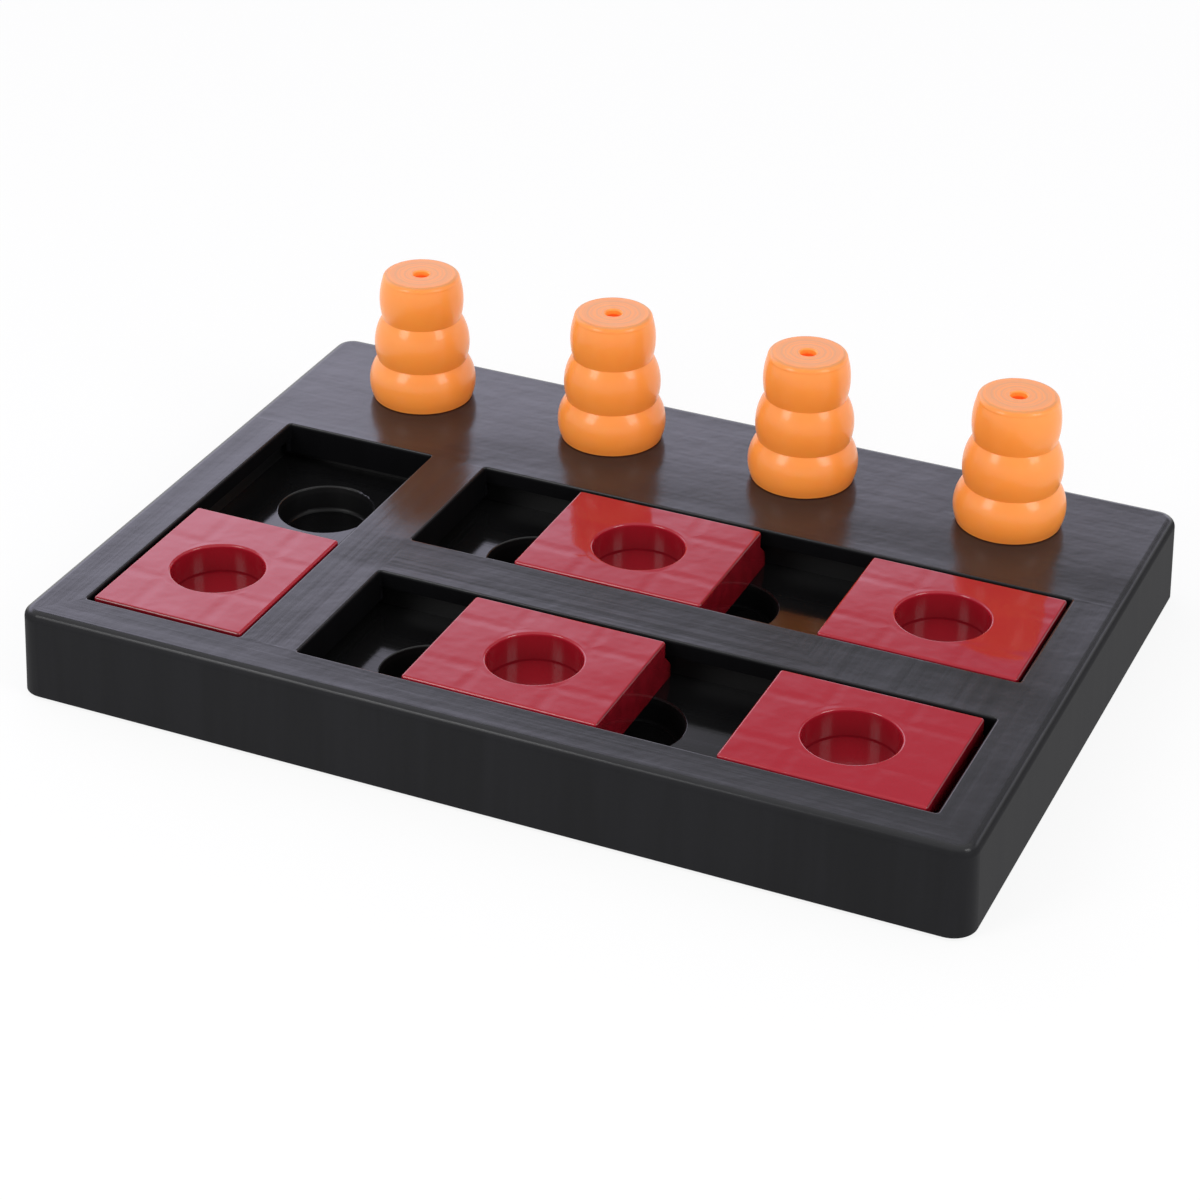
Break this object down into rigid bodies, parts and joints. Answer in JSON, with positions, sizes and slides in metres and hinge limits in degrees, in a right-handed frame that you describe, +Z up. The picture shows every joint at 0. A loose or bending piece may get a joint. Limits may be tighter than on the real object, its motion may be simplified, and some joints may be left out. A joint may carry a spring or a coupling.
{
  "type": "pet puzzle board",
  "caption": "Low black plastic puzzle board for dogs, with red sliders that run in channels over treat wells and a row of hollow orange cones that lift off their seats.",
  "frame": {"origin": "On the table, under the middle of the board's outline.", "axes": "+X to the right along the board's long side, +Y to the back where the cones stand, +Z up."},
  "size_m": [0.4, 0.28, 0.097],
  "materials": {
    "black_satin": "fine satin moulding",
    "black_gloss": "polished moulding",
    "red_plastic": "semi-gloss moulding",
    "orange_plastic": "semi-gloss moulding",
    "foot_rubber": "matt",
    "screw_steel": "zinc plated"
  },
  "bodies": {
    "board": {"top_cover": "black_satin", "base_tray": "black_gloss", "cover_screws": "screw_steel", "foot_front_left": "foot_rubber", "foot_front_middle": "foot_rubber", "foot_front_right": "foot_rubber", "foot_rear_left": "foot_rubber", "foot_rear_middle": "foot_rubber", "foot_rear_right": "foot_rubber"},
    "slider_left": {"slider_left": "red_plastic"},
    "slider_rear_left": {"slider_rear_left": "red_plastic"},
    "slider_rear_right": {"slider_rear_right": "red_plastic"},
    "slider_front_left": {"slider_front_left": "red_plastic"},
    "slider_front_right": {"slider_front_right": "red_plastic"},
    "cone_far_left": {"cone_far_left": "orange_plastic"},
    "cone_mid_left": {"cone_mid_left": "orange_plastic"},
    "cone_mid_right": {"cone_mid_right": "orange_plastic"},
    "cone_far_right": {"cone_far_right": "orange_plastic"}
  },
  "joints": [
    {"name": "slide_left", "type": "slide", "parent": "board", "child": "slider_left", "axis": [0, 1, 0], "range_m": [-0.0009, 0.083]},
    {"name": "slide_rear_left", "type": "slide", "parent": "board", "child": "slider_rear_left", "axis": [1, 0, 0], "range_m": [-0.0455, 0.0244]},
    {"name": "slide_rear_right", "type": "slide", "parent": "board", "child": "slider_rear_right", "axis": [1, 0, 0], "range_m": [-0.0244, 0.0008]},
    {"name": "slide_front_left", "type": "slide", "parent": "board", "child": "slider_front_left", "axis": [1, 0, 0], "range_m": [-0.044, 0.0238]},
    {"name": "slide_front_right", "type": "slide", "parent": "board", "child": "slider_front_right", "axis": [1, 0, 0], "range_m": [-0.0238, 0.0035]},
    {"name": "lift_far_left", "type": "slide", "parent": "board", "child": "cone_far_left", "axis": [0, 0, 1], "range_m": [0, 0.08]},
    {"name": "lift_mid_left", "type": "slide", "parent": "board", "child": "cone_mid_left", "axis": [0, 0, 1], "range_m": [0, 0.08]},
    {"name": "lift_mid_right", "type": "slide", "parent": "board", "child": "cone_mid_right", "axis": [0, 0, 1], "range_m": [0, 0.08]},
    {"name": "lift_far_right", "type": "slide", "parent": "board", "child": "cone_far_right", "axis": [0, 0, 1], "range_m": [0, 0.08]}
  ]
}
